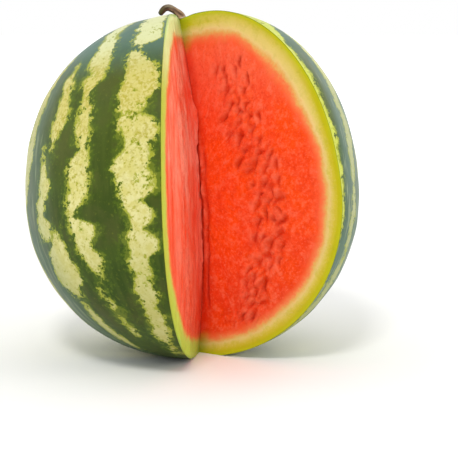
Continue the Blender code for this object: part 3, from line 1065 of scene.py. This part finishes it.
def paint_flesh():
    """Moist cut flesh: green edge, yellow and beige rind, then mottled red with short fibres."""
    paint = Paint("cut_flesh", IOR=1.17, Coat_Roughness=0.18)
    where = paint.place()
    leftness, up, out = map(paint.of_points, ("leftness", "up", "out"))
    depth, floor, lip = map(paint.of_points, ("depth", "floor", "lip"))
    wide = paint.noise(where, 36, 3, 0.55)
    lumps = paint.noise(where, 150, 4, 0.65)
    crumbs = paint.noise(where, 560, 4, 0.65)
    fibres = paint.noise(paint.grain(0.30, 0.080, 1.0), 1.0, 4, 0.60)
    streaks = paint.noise(paint.grain(0.075, 0.020, 1.0), 1.0, 4, 0.62, 0.4)

    # The depth under the skin in mm that sets the colour, less where the rind is thicker
    outer_part = up.step(20, 45) * out.step(45, 80) * (1 - leftness)
    by_stalk = up.step(88, 112) * (1 - out.step(22, 50)) * (1 - leftness * 0.5)
    thickening = up.step(20, 70) * 0.14 + outer_part * 0.17 + by_stalk * 0.22
    depth = depth * (1.14 - thickening)
    loose = (wide - 0.5) * 7 + (lumps - 0.5) * 6 + (crumbs - 0.5) * 4
    wavy = depth + depth.step(3, 15) * loose

    left_rind = paint.mix(up.step(60, 105), LEFT_RIND, LEFT_RIND_TOP)
    right_rind = (1 - wavy.step(8, 16)) * wavy.step(1, 4) * (1 - leftness)
    high_rind = right_rind * up.step(50, 105) * out.step(6, 26)
    inner_rind = right_rind * wavy.step(3, 8)
    pale_part = up.step(10, 70) * out.step(30, 62)
    colour = paint.coated(
        paint.ramp(wavy / RIND_SCALE_MM, RIND_STOPS),
        ((1 - wavy.step(11, 19)) * leftness * 0.92, left_rind),
        ((1 - depth.step(0.5, 3.0)) * leftness * 0.7, LEFT_EDGE),
        (high_rind * (0.10 + lumps * 0.45), HIGH_RIND),
        (right_rind * (1 - lumps.step(0.38, 0.50)) * 0.30, MOSS_RIND),
        (inner_rind * pale_part * (0.45 + crumbs * 0.35), HIGH_RIND),
        (inner_rind * (1 - up.step(-5, 50)) * 0.55, LOW_RIND),
        (inner_rind * crumbs.step(0.52, 0.66) * 0.30, HIGH_RIND),
    )

    red_share = wavy.step(16, 26)
    right_red = red_share * (1 - leftness)
    # The left face is painted paler than the right face as painted sheen, and its long pale pink
    # streaks are painted highlight
    left_red = paint.coated(
        LEFT_FLESH,
        (streaks.step(0.36, 0.62), LEFT_HIGHLIGHT_PINK),
        ((1 - up.step(-90, 60)) * 0.7, LEFT_LOW_RED),
    )
    fibrous = 0.20 + up.step(15, 85) * 0.35
    # Painted shade in the inner corner where the two cut faces meet at the core: deep red on the
    # flesh, olive on the rind
    near_core = (1 - out.step(1.0, 12.0)) * (1 - leftness * 0.6)
    floor = floor * wavy.step(10, 18)
    colour = paint.coated(
        colour,
        (right_red * wide.step(0.42, 0.62) * 0.9, ORANGE_RED),
        (right_red * (1 - lumps.step(0.36, 0.52)) * 0.32, CRIMSON),
        (right_red * (1 - up.step(-95, -10)) * 0.34, CRIMSON),
        (right_red * up.step(45, 105) * 0.40, PALE_FLESH),
        (red_share * leftness * 0.9, left_red),
        (red_share * lumps.step(0.50, 0.66) * 0.36, PALE_FLESH),
        (right_red * fibres.step(0.52, 0.66) * fibrous, PALE_FLESH),
        (red_share * crumbs.step(0.54, 0.66) * 0.36, PALE_FLESH),
        (red_share * (1 - crumbs.step(0.34, 0.46)) * 0.34, CRIMSON),
        (near_core * red_share * 0.60, CORE_SHADE_RED),
        (near_core * (1 - red_share) * 0.6, CORE_SHADE_OLIVE),
        # Painted highlight on raised flesh, then painted shade in the pits, the crack, the groove
        # and along the core
        (lip * red_share * 0.55, PALE_FLESH),
        (floor * 0.85, HOLLOW_SHADE_RED),
    )
    paint.set(Base_Color=colour, Coat_Weight=(1 - floor) * lumps.step(0.45, 0.60) * 0.14)

    paint.set(Roughness=0.30 + crumbs * 0.22 + floor * 0.25)
    relief = lumps * 0.60 + fibres * 0.25 + crumbs * 0.40
    paint.set(Normal=paint.bump(relief * (0.35 + red_share * 0.65), 0.0012, 0.7))
    return paint.material


STALK_STOPS = (
    (0.00, (0.62, 0.53, 0.39)),
    (0.07, (0.52, 0.40, 0.27)),
    (0.16, (0.24, 0.135, 0.07)),
    (0.45, (0.19, 0.11, 0.06)),
    (0.66, (0.13, 0.072, 0.038)),
    (0.85, (0.095, 0.080, 0.018)),
    (1.00, (0.075, 0.068, 0.016)),
)
STALK_PALE = (0.47, 0.29, 0.15)
STALK_DARK = (0.060, 0.026, 0.014)
STALK_UNDER_SHADE = (0.14, 0.034, 0.016)
STALK_GREY = (0.27, 0.22, 0.14)


def paint_stalk():
    """Dry brown stalk: pale worn ridges, dark furrows, cream where it joins, olive at the tip."""
    paint = Paint("dry_stalk", IOR=1.40)
    share, crest, under = map(paint.of_points, ("share", "crest", "under"))
    fibres = paint.noise(paint.grain(1.6, 1.6, 0.35), 1.0, 5, 0.70)
    blotch = paint.noise(paint.grain(0.40, 0.40, 0.34), 1.0, 3, 0.6)
    knee = share.step(0.42, 0.52) * (1 - share.step(0.62, 0.76))
    worn = (crest * 0.25 + fibres * 0.35 + blotch * 0.50).step(0.50, 0.72)
    worn = worn * (1 - share.step(0.40, 0.60))
    furrow = 1 - (crest * 0.25 + fibres * 0.40 + blotch * 0.40).step(0.34, 0.56)
    colour = paint.coated(
        paint.ramp(share + (blotch - 0.5) * 0.08, STALK_STOPS),
        (knee * (1 - under.step(0.35, 0.70)) * 0.85, STALK_GREY),
        # Painted shade: the stalk's underside, under its arch, is painted darker
        (under.step(0.55, 0.90) * share.step(0.2, 0.4) * 0.7, STALK_UNDER_SHADE),
        (worn * 0.85, STALK_PALE),
        (furrow * share.step(0.08, 0.16) * 0.85, STALK_DARK),
    )
    paint.set(Base_Color=colour, Roughness=0.62 + fibres * 0.25)
    paint.set(Normal=paint.bump(fibres + blotch * 0.3, 0.0005, 0.8))
    return paint.material


BLACK = (0.0, 0.0, 0.0)
WHITE = (1.0, 1.0, 1.0)
FLOOR_WHITE = (0.94, 0.94, 0.94)
FLOOR_CLOUD_WHITE = (0.97, 0.97, 0.97)


def paint_floor():
    """Plain pale studio floor, faintly cloudy, that glows more and more further out: painted light
    that blends it into the sky.
    """
    paint = Paint("pale_floor", Roughness=0.90, IOR=1.02, Emission_Strength=0.6)
    where = paint.place()
    clouds = paint.noise(where, 0.8, 2, 0.5)
    away = paint.node("ShaderNodeVectorMath", {"operation": "LENGTH"}, {0: where}, "Value")
    glow = away.step(*FLOOR_GLOW_SPAN)
    paint.set(Base_Color=paint.mix(clouds, FLOOR_WHITE, FLOOR_CLOUD_WHITE))
    paint.set(Emission_Color=paint.mix(glow, BLACK, WHITE))
    return paint.material


# The studio

def build_floor():
    """A wide pale disc that reaches to the horizon."""
    turn = [2 * math.pi * i / FLOOR_SIDES for i in range(FLOOR_SIDES)]
    points = [(FLOOR_RADIUS * math.cos(a), FLOOR_RADIUS * math.sin(a), 0.0) for a in turn]
    mesh = bpy.data.meshes.new("pale_floor")
    mesh.from_pydata(points, [], [list(range(FLOOR_SIDES))])
    mesh.materials.append(paint_floor())
    floor = new_object("pale_floor", mesh)


def add_light(name, place, size, power, colour):
    data = bpy.data.lights.new(name, "AREA")
    data.shape = "RECTANGLE"
    data.size, data.size_y = size
    data.energy = power
    data.color = colour
    lamp = new_object(name, data)
    lamp.location = place
    lamp.rotation_euler = (Vector(place) - LIGHT_AIM).to_track_quat("Z", "Y").to_euler()


def towards_camera():
    bearing, rise = math.radians(CAMERA_BEARING), math.radians(CAMERA_RISE)
    across = math.cos(rise)
    return Vector((math.sin(bearing) * across, -math.cos(bearing) * across, math.sin(rise)))


def build_world():
    """A white studio that is dimmer on the photographer's side."""
    world = bpy.data.worlds.new("pale_studio")
    world.use_nodes = True
    studio = Nodes(world.node_tree)
    where = studio.node("ShaderNodeTexCoord", output="Generated")
    sockets = {0: where, 1: towards_camera()}
    facing = studio.node("ShaderNodeVectorMath", {"operation": "DOT_PRODUCT"}, sockets, "Value")
    sockets = dict(zip(("From Min", "From Max", "To Min", "To Max"), SKY_DIMMING), Value=facing)
    dimming = studio.node("ShaderNodeMapRange", {"interpolation_type": "SMOOTHSTEP"}, sockets)
    sky = studio.tree.nodes["Background"]
    studio.join(sky.inputs["Color"], WHITE)
    studio.join(sky.inputs["Strength"], dimming)
    bpy.context.scene.world = world


def build_camera():
    back = towards_camera()
    data = bpy.data.cameras.new("photo_view")
    data.lens = CAMERA_LENS_MM
    data.sensor_width = CAMERA_SENSOR_MM
    data.shift_x, data.shift_y = CAMERA_SHIFT
    data.clip_start, data.clip_end = CAMERA_CLIP
    camera = new_object("photo_view", data)
    camera.location = Vector(MIDDLE) + back * CAMERA_DISTANCE
    camera.rotation_mode = "QUATERNION"
    camera.rotation_quaternion = (-back).to_track_quat("-Z", "Y")
    bpy.context.scene.camera = camera


build_camera()
build_world()
for light in LIGHTS:
    add_light(*light)
build_floor()
bpy.context.scene.view_settings.view_transform = "Standard"

melon = build_melon()
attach(melon, "root")
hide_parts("melon")

stalk = build_stalk()
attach(stalk, "root")
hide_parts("stalk")
